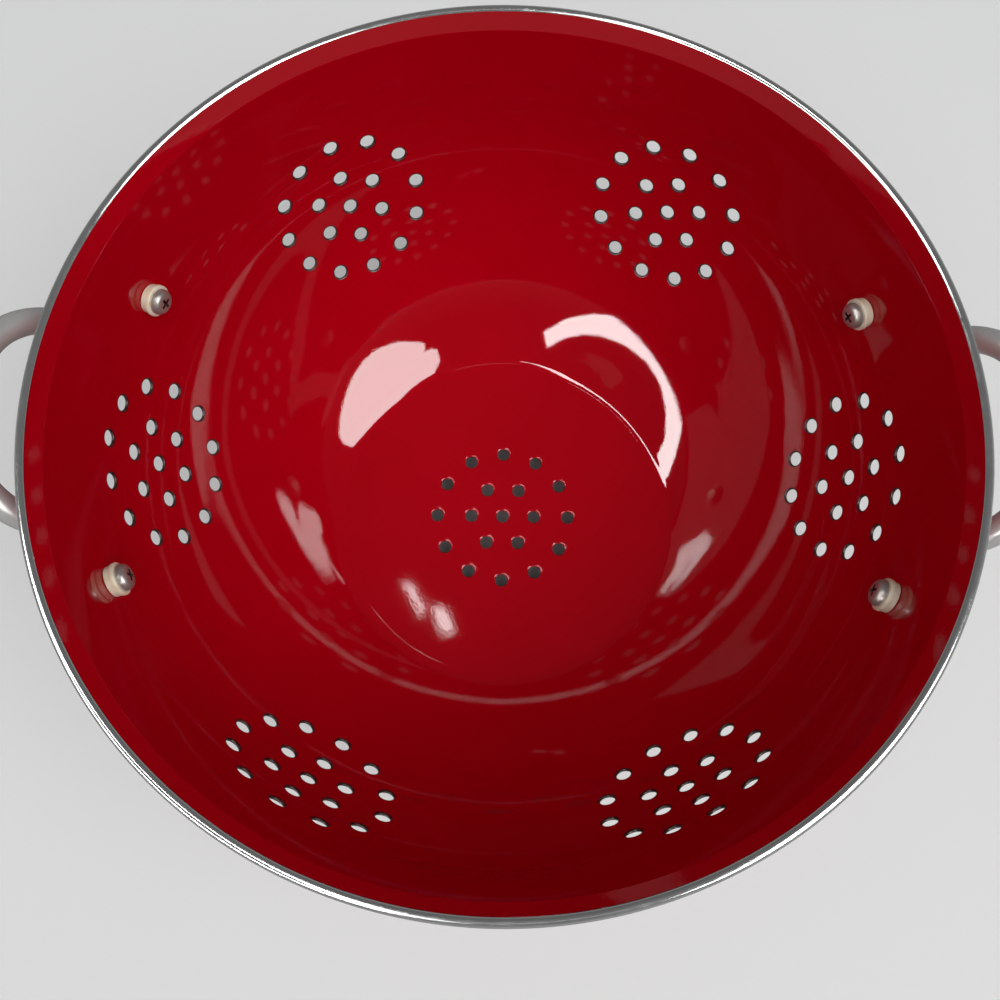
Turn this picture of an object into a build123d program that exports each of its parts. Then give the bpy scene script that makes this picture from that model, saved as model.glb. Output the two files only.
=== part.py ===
from build123d import *
import os
from math import asin, cos, degrees, radians, sin, sqrt, tan

# A footed colander: an enamelled pressed-steel bowl with seven clusters of drain
# holes, a stainless band rolled over its lip, a welded foot ring, and two rod
# handles screwed on from inside through nylon washers.
# Millimetres and degrees. Z is up, the origin is on the floor under the middle of
# the foot ring, and the handles reach out along plus and minus X.

# Bowl
rim_diameter = 270.0        # over the outside of the rim band
bowl_depth = 124.8          # middle of the rim band to the middle of the base sheet
wall_thickness = 1.0
base_diameter = 133.0       # where the side meets the flat base
base_blend_radius = 10.0
side_taper = 4.0            # lean of the straight wall
straight_share = 0.226      # of the depth, where the straight wall ends
lower_drop_share = 0.705    # of the depth, where the gentler lower curve starts
lower_reach_share = 0.6452  # of the way out from the base's corner to the straight wall

# Lip, which flares out into the rim band
lip_drop = 4.7
lip_angle = 45.0
lip_bend_radius = 2.0
lip_overrun = 0.3           # past the middle of the rim band

# Drain holes, in one cluster on the base and the others round the side
drain_hole_diameter = 5.0
inner_ring_radius = 12.7
outer_ring_radius = 26.5
inner_ring_count = 6
outer_ring_count = 12
cluster_count = 6
cluster_drop_share = 0.505  # of the depth, at the middle of each side cluster

# Rim band, rolled from stainless strip to a slightly flattened tube
band_width = 3.6
band_thickness = 3.3
band_sheet = 0.4
band_clearance = 0.05

# Foot ring, pressed from sheet and welded under the base
foot_height = 12.0
foot_sheet = 1.0
foot_inset = 4.5            # from the base's corner in to the ring's top
foot_lean = 3.0             # how much further out the ring stands at its bottom
weld_flange_width = 5.0
rest_flange_width = 3.5
foot_bend_radius = 0.8      # inside each bend
foot_slot_length = 12.0
foot_slot_height = 3.6
foot_slot_count = 4

# Screws
screw_diameter = 4.0
screw_hole_clearance = 0.2
head_diameter = 8.4
head_height = 2.7
head_round = 2.0
recess_span = 4.4
recess_slot = 1.1
recess_depth = 1.5
recess_taper = 12.0
screw_tip_chamfer = 0.4
screw_spacing = 94.7        # between a handle's two screws, at the wall
screw_offset = 4.8          # below the end of the straight wall

# Nylon washers
seat_clearance = 0.05
inner_washer_diameter = 10.4
inner_washer_thickness = 3.4
inner_washer_shoulder = 1.5
inner_washer_step = 0.35
outer_washer_diameter = 11.0
outer_washer_thickness = 1.2

# Handles, of round rod with forged tabs
rod_diameter = 8.0
grip_stand_off = 16.8       # outside of the rim band to the middle of the grip
grip_drop = 3.9             # grip below the rim
loop_width = 63.0           # between the two corners of the loop
corner_share = 0.8          # corner radius against half the loop's width
knee_radius = 12.0
tab_run = 18.0              # screw to knee
tab_thickness = 2.6
tab_width = 13.0
neck_width = 10.5
neck_thickness = 4.4
neck_shares = (0, 0.5, 1)   # round the knee, where the neck's sections stand

# Cap nuts
nut_across_flats = 7.0
nut_hex_height = 3.2
nut_dome_diameter = 6.5
nut_dome_height = 3.0
nut_dome_share = 0.9        # of the dome's height, rounded off
nut_thread_clearance = 0.05
nut_thread_depth = 4.6
thread_engagement = 3.8

# Worked out from the sizes above
half_wall = wall_thickness / 2
seat_offset = half_wall + seat_clearance
rim_height = foot_height + half_wall + bowl_depth
base_height = rim_height - bowl_depth
band_middle_radius = (rim_diameter - band_width) / 2
lip_radius = band_middle_radius - lip_drop / tan(radians(lip_angle))
hole_cut = outer_ring_radius / 2    # deeper than the wall's curve over a cluster

base_corner = Vector(base_diameter / 2, base_height)
foot_top_radius = base_corner.X - foot_inset
foot_bottom_radius = foot_top_radius + foot_lean

# The side's curve leaves the straight wall in tangent
straight_drop = bowl_depth * straight_share
side_start = Vector(
    lip_radius - (straight_drop - lip_drop) * tan(radians(side_taper)),
    rim_height - straight_drop,
)
lower_start = Vector(
    base_corner.X + (side_start.X - base_corner.X) * lower_reach_share,
    rim_height - bowl_depth * lower_drop_share,
)
side_normal = Vector(cos(radians(side_taper)), -sin(radians(side_taper)))
side_chord = side_start - lower_start
side_radius = side_chord.length**2 / (2 * side_chord.dot(side_normal))
side_middle = side_start - side_normal * side_radius
side_middle_drop = rim_height - side_middle.Y

# The lower curve leaves the side's curve in tangent and ends at the base's corner
lower_angle = degrees(asin((side_middle.Y - lower_start.Y) / side_radius))
lower_normal = Vector(cos(radians(lower_angle)), -sin(radians(lower_angle)))
lower_chord = lower_start - base_corner
lower_radius = lower_chord.length**2 / (2 * lower_chord.dot(lower_normal))
lower_middle = lower_start - lower_normal * lower_radius

cluster_drop = bowl_depth * cluster_drop_share
screw_drop = straight_drop + screw_offset

inner_face_height = -(seat_offset + inner_washer_thickness)
outer_face_height = seat_offset + outer_washer_thickness
nut_face_height = outer_face_height + tab_thickness
screw_length = nut_face_height - inner_face_height + thread_engagement
bore_radius = screw_diameter / 2 + screw_hole_clearance

os.makedirs("parts", exist_ok=True)


def finish(piece, name):
    """Labels a finished piece and writes its file."""
    piece.part.label = name
    export_step(piece.part, f"parts/{name}.step")
    print(name, round(piece.part.volume), "mm3")


def base_edge(shift):
    """Where the wall's face at this distance outside its middle meets the base's."""
    height = base_height - shift
    reach = (lower_radius + shift) ** 2 - (height - lower_middle.Y) ** 2
    return Vector(lower_middle.X + sqrt(reach), height)


def lip_corner(shift):
    """Where the straight wall's face at this distance outside its middle meets the lip's."""
    taper, flare = radians(side_taper), radians(lip_angle)
    normals = ((cos(taper), -sin(taper)), (sin(flare), -cos(flare)))
    scale = normals[0][0] * normals[1][1] - normals[0][1] * normals[1][0]
    along_r = shift * (normals[1][1] - normals[0][1]) / scale
    along_z = shift * (normals[0][0] - normals[1][0]) / scale
    return Vector(lip_radius + along_r, rim_height - lip_drop + along_z)


def lip_end(shift):
    """The lip's edge inside the rim band, at this distance outside the wall's middle."""
    flare = radians(lip_angle)
    return Vector(
        band_middle_radius + lip_overrun * cos(flare) + shift * sin(flare),
        rim_height + lip_overrun * sin(flare) - shift * cos(flare),
    )


def wall_lines(shift):
    """Draws the bowl's section from the axis to the lip, at this distance outside its middle."""
    edge = base_edge(shift)
    corner = lip_corner(shift)
    foot_angle = degrees(asin((lower_middle.Y - edge.Y) / (lower_radius + shift)))
    floor = Line((0, edge.Y), edge)
    lower = CenterArc(
        lower_middle, lower_radius + shift, -foot_angle, foot_angle - lower_angle
    )
    side = CenterArc(side_middle, side_radius + shift, -lower_angle, lower_angle - side_taper)
    Line(side @ 1, corner)
    Line(corner, lip_end(shift))
    return floor @ 0


def wall_section(inner, outer):
    """Fills the section between two faces of the wall, each given outside its middle."""
    with BuildSketch(Plane.XZ) as section:
        with BuildLine():
            inner_start = wall_lines(inner)
            outer_start = wall_lines(outer)
            Line(inner_start, outer_start)
            Line(lip_end(inner), lip_end(outer))
        make_face()
        for shift in (inner, outer):
            blend = section.vertices().sort_by_distance(base_edge(shift))[0]
            fillet(blend, radius=base_blend_radius + shift)
            bend = section.vertices().sort_by_distance(lip_corner(shift))[0]
            fillet(bend, radius=lip_bend_radius - shift)
    return section.sketch


def wall_plane(azimuth, drop):
    """A plane on the middle of the side wall: X runs level round it, Z points outwards."""
    slope = asin((drop - side_middle_drop) / side_radius)
    turn = radians(azimuth)
    radius = side_middle.X + side_radius * cos(slope)
    return Plane(
        origin=(radius * cos(turn), radius * sin(turn), rim_height - drop),
        x_dir=(-sin(turn), cos(turn), 0),
        z_dir=(cos(turn) * cos(slope), sin(turn) * cos(slope), -sin(slope)),
    )


def drain_cluster(plane, start_angle):
    """Draws one cluster: a middle hole and two rings of holes round it."""
    with BuildSketch(plane) as cluster:
        Circle(drain_hole_diameter / 2)
        with PolarLocations(inner_ring_radius, inner_ring_count, start_angle=start_angle):
            Circle(drain_hole_diameter / 2)
        with PolarLocations(outer_ring_radius, outer_ring_count, start_angle=start_angle):
            Circle(drain_hole_diameter / 2)
    return cluster.sketch


# Each screw's place: side of the bowl and end of the handle
screw_reach = wall_plane(0, screw_drop).origin.X
screw_azimuth = degrees(asin(screw_spacing / 2 / screw_reach))
screw_places = {
    "right_back": wall_plane(screw_azimuth, screw_drop),
    "right_front": wall_plane(-screw_azimuth, screw_drop),
    "left_back": wall_plane(180 - screw_azimuth, screw_drop),
    "left_front": wall_plane(180 + screw_azimuth, screw_drop),
}

# Bowl
with BuildPart() as bowl:
    add(wall_section(-half_wall, half_wall))
    revolve(axis=Axis.Z)
    add(drain_cluster(Plane.XY.offset(base_height), 0))
    for number in range(cluster_count):
        side_plane = wall_plane(number * 360 / cluster_count, cluster_drop)
        add(drain_cluster(side_plane, 90))
    for place in screw_places.values():
        with BuildSketch(place):
            Circle(bore_radius)
    extrude(amount=hole_cut, both=True, mode=Mode.SUBTRACT)
finish(bowl, "bowl")

# The room that the wall takes, with the clearance of a seat on each face
with BuildPart() as wall_room:
    add(wall_section(-seat_offset, seat_offset))
    revolve(axis=Axis.Z)

# Rim band, a rolled tube with one slit for the lip
with BuildPart() as rim_band:
    with BuildSketch(Plane.XZ):
        with Locations((band_middle_radius, rim_height)):
            SlotOverall(band_width, band_thickness)
            SlotOverall(
                band_width - 2 * band_sheet,
                band_thickness - 2 * band_sheet,
                mode=Mode.SUBTRACT,
            )
            Rectangle(
                band_width,
                wall_thickness + 2 * band_clearance,
                rotation=lip_angle,
                align=(Align.MAX, Align.CENTER),
                mode=Mode.SUBTRACT,
            )
    revolve(axis=Axis.Z)
finish(rim_band, "rim_band")

# Foot ring: a flange welded to the base, a leaning band and a flange to rest on
weld_corner = (foot_top_radius, foot_height)
weld_bend = (foot_top_radius - foot_sheet, foot_height - foot_sheet)
rest_bend = (foot_bottom_radius, foot_sheet)
rest_corner = (foot_bottom_radius - foot_sheet, 0)
with BuildPart() as foot_ring:
    with BuildSketch(Plane.XZ) as foot_section:
        with BuildLine():
            Polyline(
                (weld_corner[0] - weld_flange_width, foot_height),
                weld_corner,
                rest_bend,
                (rest_bend[0] + rest_flange_width, foot_sheet),
                (rest_bend[0] + rest_flange_width, 0),
                rest_corner,
                weld_bend,
                (weld_corner[0] - weld_flange_width, foot_height - foot_sheet),
                close=True,
            )
        make_face()
        for point, radius in (
            (weld_corner, foot_bend_radius + foot_sheet),
            (weld_bend, foot_bend_radius),
            (rest_bend, foot_bend_radius),
            (rest_corner, foot_bend_radius + foot_sheet),
        ):
            fillet(foot_section.vertices().sort_by_distance(point)[0], radius=radius)
    revolve(axis=Axis.Z)
    with BuildSketch(Plane.YZ):
        with Locations((0, foot_height / 2)):
            SlotOverall(foot_slot_length, foot_slot_height)
    foot_slot = extrude(amount=2 * foot_bottom_radius, mode=Mode.PRIVATE)
    with PolarLocations(0, foot_slot_count, start_angle=180 / foot_slot_count):
        add(foot_slot, mode=Mode.SUBTRACT)
finish(foot_ring, "foot_ring")

# Screws, washers and cap nuts, one of each at every place
for name, place in screw_places.items():
    with BuildPart() as inner_washer:
        with BuildSketch(place.offset(inner_face_height)):
            Circle(inner_washer_diameter / 2)
        extrude(amount=inner_washer_shoulder)
        with BuildSketch(place):
            Circle(inner_washer_diameter / 2 - inner_washer_step)
        extrude(amount=inner_face_height)
        with BuildSketch(place):
            Circle(bore_radius)
        extrude(amount=inner_face_height, mode=Mode.SUBTRACT)
        add(wall_room.part, mode=Mode.SUBTRACT)
    finish(inner_washer, f"inner_washer_{name}")

    with BuildPart() as outer_washer:
        with BuildSketch(place):
            Circle(outer_washer_diameter / 2)
            Circle(bore_radius, mode=Mode.SUBTRACT)
        extrude(amount=outer_face_height)
        add(wall_room.part, mode=Mode.SUBTRACT)
    finish(outer_washer, f"outer_washer_{name}")

    with BuildPart() as screw:
        with BuildSketch(place.offset(inner_face_height)):
            Circle(head_diameter / 2)
        extrude(amount=-head_height)
        crown = screw.faces().sort_by_distance(place.offset(-rim_diameter).origin)[0]
        fillet(crown.edges(), radius=head_round)
        with BuildSketch(place.offset(inner_face_height - head_height)):
            Rectangle(recess_span, recess_slot)
            Rectangle(recess_slot, recess_span)
        extrude(amount=recess_depth, taper=recess_taper, mode=Mode.SUBTRACT)
        with BuildSketch(place.offset(inner_face_height)):
            Circle(screw_diameter / 2)
        extrude(amount=screw_length)
        tip = screw.faces().sort_by_distance(place.offset(rim_diameter).origin)[0]
        chamfer(tip.edges(), length=screw_tip_chamfer)
    finish(screw, f"screw_{name}")

    with BuildPart() as cap_nut:
        with BuildSketch(place.offset(nut_face_height)):
            RegularPolygon(nut_across_flats / 2, side_count=6, major_radius=False)
        extrude(amount=nut_hex_height)
        with BuildSketch(place.offset(nut_face_height + nut_hex_height)):
            Circle(nut_dome_diameter / 2)
        extrude(amount=nut_dome_height)
        crown = cap_nut.faces().sort_by_distance(place.offset(rim_diameter).origin)[0]
        fillet(crown.edges(), radius=nut_dome_height * nut_dome_share)
        with BuildSketch(place.offset(nut_face_height)):
            Circle(screw_diameter / 2 + nut_thread_clearance)
        extrude(amount=nut_thread_depth, mode=Mode.SUBTRACT)
    finish(cap_nut, f"cap_nut_{name}")

# Right handle: its back half is drawn and mirrored to the front
back_place = screw_places["right_back"]
tab_plane = back_place.offset(outer_face_height)
tab_middle = back_place.offset(outer_face_height + tab_thickness / 2).origin
tab_direction = -back_place.x_dir
knee_corner = tab_middle + tab_direction * tab_run
grip_reach = rim_diameter / 2 + grip_stand_off
grip_height = rim_height - grip_drop
loop_corner = Vector(grip_reach, loop_width / 2, grip_height)

with BuildLine() as half_loop:
    FilletPolyline(
        tab_middle,
        knee_corner,
        loop_corner,
        (grip_reach, 0, grip_height),
        radius=(knee_radius, loop_width / 2 * corner_share),
    )
run, knee, leg, corner, grip = half_loop.edges().sort_by(half_loop.wires()[0])
neck_start = tab_middle + tab_direction * (outer_washer_diameter / 2)
knee_axis = Axis(knee @ 0, (knee % 0).cross(knee % 1))
knee_turn = (knee % 0).get_angle(knee % 1)

with BuildPart() as handle_right:
    with BuildSketch(tab_plane):
        Circle(tab_width / 2)
        with BuildLine():
            Polyline(
                (0, tab_width / 2),
                (-run.length, neck_width / 2),
                (-run.length, -neck_width / 2),
                (0, -tab_width / 2),
                close=True,
            )
        make_face()
    extrude(amount=tab_thickness)
    with BuildSketch(Plane(neck_start, x_dir=back_place.y_dir, z_dir=run % 0)):
        Ellipse(neck_width / 2, tab_thickness / 2)
    for share in neck_shares:
        wide = back_place.y_dir.rotate(knee_axis, knee_turn * share)
        with BuildSketch(Plane(knee @ share, x_dir=wide, z_dir=knee % share)):
            Ellipse(
                neck_width / 2 + (rod_diameter - neck_width) / 2 * share,
                neck_thickness / 2 + (rod_diameter - neck_thickness) / 2 * share,
            )
    loft()
    with BuildSketch(Plane(leg @ 0, z_dir=leg % 0)):
        Circle(rod_diameter / 2)
    sweep(path=Wire([leg, corner, grip]))
    with BuildSketch(tab_plane):
        Circle(bore_radius)
    extrude(amount=tab_thickness, mode=Mode.SUBTRACT)
    mirror(about=Plane.XZ)
finish(handle_right, "handle_right")

with BuildPart() as handle_left:
    mirror(handle_right.part, about=Plane.YZ)
finish(handle_left, "handle_left")
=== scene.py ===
"""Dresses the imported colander: an enamelled bowl, its steel rim, handles and fasteners."""

from __future__ import annotations

import logging
import math
from collections.abc import Iterable, Sequence
from dataclasses import dataclass, field
from enum import Enum

import bmesh
import bpy
import numpy as np
from mathutils import Matrix, Vector

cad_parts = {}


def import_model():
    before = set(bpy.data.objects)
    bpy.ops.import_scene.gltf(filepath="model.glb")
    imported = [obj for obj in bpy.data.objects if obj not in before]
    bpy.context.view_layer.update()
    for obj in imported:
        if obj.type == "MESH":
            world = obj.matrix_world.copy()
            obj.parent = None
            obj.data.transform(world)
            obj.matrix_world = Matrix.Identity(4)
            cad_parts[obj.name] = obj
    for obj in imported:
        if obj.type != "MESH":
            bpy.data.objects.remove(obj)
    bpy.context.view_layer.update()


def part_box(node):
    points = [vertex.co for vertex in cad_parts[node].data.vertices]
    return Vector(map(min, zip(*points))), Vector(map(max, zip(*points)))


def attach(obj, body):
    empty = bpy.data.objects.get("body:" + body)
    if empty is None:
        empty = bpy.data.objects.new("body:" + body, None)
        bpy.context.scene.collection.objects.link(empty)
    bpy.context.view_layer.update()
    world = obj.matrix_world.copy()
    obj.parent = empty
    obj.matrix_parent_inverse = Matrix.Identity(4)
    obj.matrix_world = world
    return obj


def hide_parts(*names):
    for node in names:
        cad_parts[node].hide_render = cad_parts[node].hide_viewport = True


LOG = logging.getLogger("colander")

MM = 0.001
FULL_TURN = 2 * math.pi
ROOT_BODY = "root"
WELD = 0.001
NOISE_SPREAD = (0.3, 0.7)
BLACK = (0, 0, 0, 1)
WHITE = (1, 1, 1, 1)

Point2 = tuple[float, float]
Station = tuple[float, float, float]


class Slot(Enum):
    """Material slots, which the finishes carry."""

    ENAMEL = "enamel"
    RIM = "rim_steel"
    HANDLE = "handle_steel"
    SCREW = "screw_steel"
    NYLON = "nylon"


class Side(Enum):
    """The two sides of the bowl that carry a handle, as the sign of X."""

    RIGHT = 1
    LEFT = -1


class End(Enum):
    """The two ends of a handle, as the sign of Y."""

    BACK = 1
    FRONT = -1


class Edge(Enum):
    """How a cut edge looks, as the index of its material."""

    # Edges painted nearly black as shade.
    DARK = 1
    ROLLED = 2


def arc_points(centre: Point2, radius: float, start: float, end: float, steps: int) -> list[Point2]:
    """Points along an arc in a section.

    Args:
        centre: Middle of the arc, as radius from the axis and height.
        radius: Radius of the arc.
        start: First angle in degrees, from the radial direction towards up.
        end: Last angle in degrees.
        steps: Number of chords.

    Returns:
        The points, both ends included.
    """
    turns = (math.radians(start + (end - start) * step / steps) for step in range(steps + 1))
    return [(centre[0] + radius * math.cos(t), centre[1] + radius * math.sin(t)) for t in turns]


def rounded_outline(corners: Sequence[Station], steps: int) -> list[Point2]:
    """Rounds the corners of a closed outline.

    Args:
        corners: Each corner's place and the radius that rounds it, zero for a sharp one.
        steps: Number of chords in each rounded corner.

    Returns:
        The outline's points in order.
    """
    points: list[Point2] = []
    count = len(corners)
    for index, (x, y, radius) in enumerate(corners):
        here = Vector((x, y))
        if radius == 0:
            points.append((x, y))
            continue
        before = (Vector(corners[index - 1][:2]) - here).normalized()
        after = (Vector(corners[(index + 1) % count][:2]) - here).normalized()
        half_angle = before.angle(after) / 2
        middle = here + (before + after).normalized() * radius / math.sin(half_angle)
        first = here + before * radius / math.tan(half_angle) - middle
        last = here + after * radius / math.tan(half_angle) - middle
        turn = first.angle_signed(last)
        for step in range(steps + 1):
            spoke = Matrix.Rotation(-turn * step / steps, 2) @ first
            points.append(tuple(middle + spoke))
    return points


def spun(profile: Sequence[Point2], steps: int, closed: bool = True) -> bmesh.types.BMesh:
    """Spins a section about the Z axis.

    Args:
        profile: The section's points, as radius and height.
        steps: Number of facets round the axis.
        closed: Whether the last point joins the first.

    Returns:
        A mesh with its poles closed and its faces pointing outwards.
    """
    bm = bmesh.new()
    verts = [bm.verts.new((radius, 0, height)) for radius, height in profile]
    pairs = list(zip(verts[:-1], verts[1:]))
    if closed:
        pairs.append((verts[-1], verts[0]))
    edges = [bm.edges.new(pair) for pair in pairs]
    bmesh.ops.spin(
        bm,
        geom=verts + edges,
        cent=(0, 0, 0),
        axis=(0, 0, 1),
        angle=FULL_TURN,
        steps=steps,
        use_merge=True,
    )
    bmesh.ops.remove_doubles(bm, verts=bm.verts, dist=WELD)
    slivers = [edge for edge in bm.edges if not edge.link_faces]
    bmesh.ops.delete(bm, geom=slivers, context="EDGES")
    bmesh.ops.recalc_face_normals(bm, faces=bm.faces)
    return bm


def mesh_object(bm: bmesh.types.BMesh, name: str, place: Matrix | None = None) -> bpy.types.Object:
    """Turns a mesh in millimetres into an object at the origin.

    Args:
        bm: The mesh, which is freed.
        name: The object's name.
        place: Where the mesh goes, in millimetres.

    Returns:
        The new object, smooth shaded and linked to the scene.
    """
    if place is not None:
        bmesh.ops.transform(bm, matrix=place, verts=bm.verts)
    bmesh.ops.scale(bm, vec=(MM, MM, MM), verts=bm.verts)
    mesh = bpy.data.meshes.new(name)
    bm.to_mesh(mesh)
    bm.free()
    mesh.shade_smooth()
    piece = bpy.data.objects.new(name, mesh)
    bpy.context.scene.collection.objects.link(piece)
    return piece


def cut(piece: bpy.types.Object, cutter: bpy.types.Object) -> None:
    """Takes a cutter away from a piece, applies the result and deletes the cutter."""
    boolean = piece.modifiers.new("cut", "BOOLEAN")
    boolean.operation = "DIFFERENCE"
    boolean.object = cutter
    boolean.solver = "EXACT"
    boolean.material_mode = "INDEX"
    depsgraph = bpy.context.evaluated_depsgraph_get()
    result = bpy.data.meshes.new_from_object(piece.evaluated_get(depsgraph))
    piece.modifiers.remove(boolean)
    spent = piece.data
    piece.data = result
    bpy.data.meshes.remove(spent)
    bpy.data.objects.remove(cutter)


def crease_by_angle(piece: bpy.types.Object, degrees: float) -> None:
    """Shades the piece smooth except across edges sharper than this angle."""
    piece.data.set_sharp_from_angle(angle=math.radians(degrees))


def dress(piece: bpy.types.Object, finish: Finish, node: str) -> bpy.types.Object:
    """Gives a piece its material and its body, and hides the CAD node that it stands for.

    Args:
        piece: The finished piece.
        finish: Its finish.
        node: The CAD node that it stands for.

    Returns:
        The piece.
    """
    if not piece.data.materials:
        piece.data.materials.append(None)
    piece.data.materials[0] = finish.material()
    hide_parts(node)
    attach(piece, ROOT_BODY)
    LOG.info("%s: %d faces, for %s", piece.name, len(piece.data.polygons), node)
    return piece


def map_range(
    tree: bpy.types.NodeTree, value: bpy.types.NodeSocket, *limits: object
) -> bpy.types.NodeSocket:
    """Maps a value from one range to another, held at the ends.

    Args:
        tree: The node tree that gets the node.
        value: The socket to map.
        *limits: Where the range starts and ends, then what each end maps to, as numbers or sockets.

    Returns:
        The mapped value.
    """
    node = tree.nodes.new("ShaderNodeMapRange")
    tree.links.new(value, node.inputs[0])
    for socket, limit in zip(node.inputs[1:5], limits):
        if isinstance(limit, bpy.types.NodeSocket):
            tree.links.new(limit, socket)
        else:
            socket.default_value = limit
    return node.outputs[0]


class NodeSheet:
    """A material's node tree with short calls for the nodes that the finishes use."""

    def __init__(self, name: str) -> None:
        """Starts an empty material with a principled shader."""
        self.material = bpy.data.materials.new(name)
        self.material.use_nodes = True
        self.tree = self.material.node_tree
        self.tree.nodes.clear()
        self.output = self.tree.nodes.new("ShaderNodeOutputMaterial")
        self.shader = self.tree.nodes.new("ShaderNodeBsdfPrincipled")
        self.link(self.shader.outputs["BSDF"], self.output.inputs["Surface"])
        self.place = self.tree.nodes.new("ShaderNodeTexCoord").outputs["Object"]

    def link(self, source: bpy.types.NodeSocket, target: bpy.types.NodeSocket) -> None:
        """Links two sockets."""
        self.tree.links.new(source, target)

    def feed(self, socket: bpy.types.NodeSocket, value: object) -> None:
        """Links a socket to another, or sets its constant."""
        if isinstance(value, bpy.types.NodeSocket):
            self.link(value, socket)
        else:
            socket.default_value = value

    def math(self, operation: str, *values: object) -> bpy.types.NodeSocket:
        """A math node's result.

        Args:
            operation: Blender's name of the operation.
            *values: Its inputs, as sockets or numbers.

        Returns:
            The result's socket.
        """
        node = self.tree.nodes.new("ShaderNodeMath")
        node.operation = operation
        for socket, value in zip(node.inputs, values):
            self.feed(socket, value)
        return node.outputs[0]

    def noise(
        self, size: float, detail: float = 2.0, stretch: Sequence[float] = (1, 1, 1)
    ) -> bpy.types.NodeSocket:
        """Noise whose features are about this size in millimetres.

        Args:
            size: Size of a feature.
            detail: Octaves of finer noise.
            stretch: How much longer the features are along each axis.

        Returns:
            The noise's value, about 0.5 on average.
        """
        mapping = self.tree.nodes.new("ShaderNodeMapping")
        mapping.inputs["Scale"].default_value = [1 / share for share in stretch]
        self.link(self.place, mapping.inputs["Vector"])
        node = self.tree.nodes.new("ShaderNodeTexNoise")
        node.inputs["Scale"].default_value = 1 / (size * MM)
        node.inputs["Detail"].default_value = detail
        self.link(mapping.outputs[0], node.inputs["Vector"])
        return node.outputs["Fac"]

    def ramp(self, value: bpy.types.NodeSocket, *limits: float) -> bpy.types.NodeSocket:
        """Maps a value from the first two limits to the last two, which are 0 and 1 if left out."""
        return map_range(self.tree, value, *limits)

    def mix(self, share: bpy.types.NodeSocket, first: object, second: object) -> bpy.types.NodeSocket:
        """A colour between two others.

        Args:
            share: How much of the second one shows.
            first: A colour or socket.
            second: A colour or socket.

        Returns:
            The mixed colour.
        """
        node = self.tree.nodes.new("ShaderNodeMix")
        node.data_type = "RGBA"
        self.link(share, node.inputs[0])
        self.feed(node.inputs[6], first)
        self.feed(node.inputs[7], second)
        return node.outputs[2]

    def bump(
        self, height: bpy.types.NodeSocket, depth: float, after: bpy.types.NodeSocket | None = None
    ) -> bpy.types.NodeSocket:
        """A bump of this depth in millimetres.

        Args:
            height: The relief, from 0 to 1.
            depth: How deep it is.
            after: Normal of a bump that this one adds to.

        Returns:
            The bumped normal.
        """
        node = self.tree.nodes.new("ShaderNodeBump")
        node.inputs["Strength"].default_value = 1.0
        node.inputs["Distance"].default_value = depth * MM
        self.link(height, node.inputs["Height"])
        if after is not None:
            self.link(after, node.inputs["Normal"])
        return node.outputs["Normal"]

    def set(self, **values: object) -> None:
        """Sets the shader's inputs, with underscores for the spaces in their names."""
        for name, value in values.items():
            label = name.replace("_", " ")
            socket = next(s for s in self.shader.inputs if s.name.lower() == label)
            self.feed(socket, value)


@dataclass(frozen=True)
class Finish:
    """A finish, which makes its material once."""

    slot: Slot

    def sheet(self) -> NodeSheet:
        """An empty node sheet with this finish's name."""
        return NodeSheet(type(self).__name__.lower())

    def build(self) -> bpy.types.Material:
        """The material itself, which each finish defines."""
        raise NotImplementedError

    def material(self) -> bpy.types.Material:
        """The finish's material, made the first time that it is asked for."""
        name = type(self).__name__.lower()
        return bpy.data.materials.get(name) or self.build()


@dataclass(frozen=True)
class RedEnamel(Finish):
    """Glossy deep red enamel over steel.

    Each relief is given by the size of its features, its octaves and its depth: waves, orange
    peel, scuffs.
    """

    slot: Slot = Slot.ENAMEL
    colour: tuple[float, ...] = (0.41, 0.0, 0.007, 1)
    deep_colour: tuple[float, ...] = (0.39, 0.0, 0.006, 1)
    roughness: float = 0.03
    ior: float = 1.52
    patch_size: float = 30.0
    patch_spread: Point2 = (0.35, 0.65)
    reliefs: tuple[Station, ...] = ((15.0, 1.0, 0.012), (2.5, 2.0, 0.003), (0.9, 2.0, 0.004))

    def build(self) -> bpy.types.Material:
        """Enamel that varies a little in depth, with a faint orange peel and fine scuffs."""
        sheet = self.sheet()
        patches = sheet.ramp(sheet.noise(self.patch_size, 3.0), *self.patch_spread)
        normal = None
        for size, detail, depth in self.reliefs:
            normal = sheet.bump(sheet.noise(size, detail), depth, normal)
        sheet.set(
            base_color=sheet.mix(patches, self.colour, self.deep_colour),
            roughness=self.roughness,
            ior=self.ior,
            normal=normal,
        )
        return sheet.material


@dataclass(frozen=True)
class PaintedShadeEdge(Finish):
    """Nearly black colour, painted shade on the edges of the wall's holes and the screw holes, and in a
    screw's recess.
    """

    slot: Slot = Slot.ENAMEL
    # Painted shade: the nearly black colour of these hole edges and recesses.
    colour: tuple[float, ...] = (0.02, 0.004, 0.004, 1)
    chipped: tuple[float, ...] = (0.07, 0.02, 0.02, 1)
    roughness: float = 0.35
    chip_size: float = 1.2
    chip_spread: Point2 = (0.5, 0.6)

    def build(self) -> bpy.types.Material:
        """Nearly black painted shade, with small lighter chips."""
        sheet = self.sheet()
        chips = sheet.ramp(sheet.noise(self.chip_size), *self.chip_spread)
        sheet.set(base_color=sheet.mix(chips, self.colour, self.chipped), roughness=self.roughness)
        return sheet.material


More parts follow.
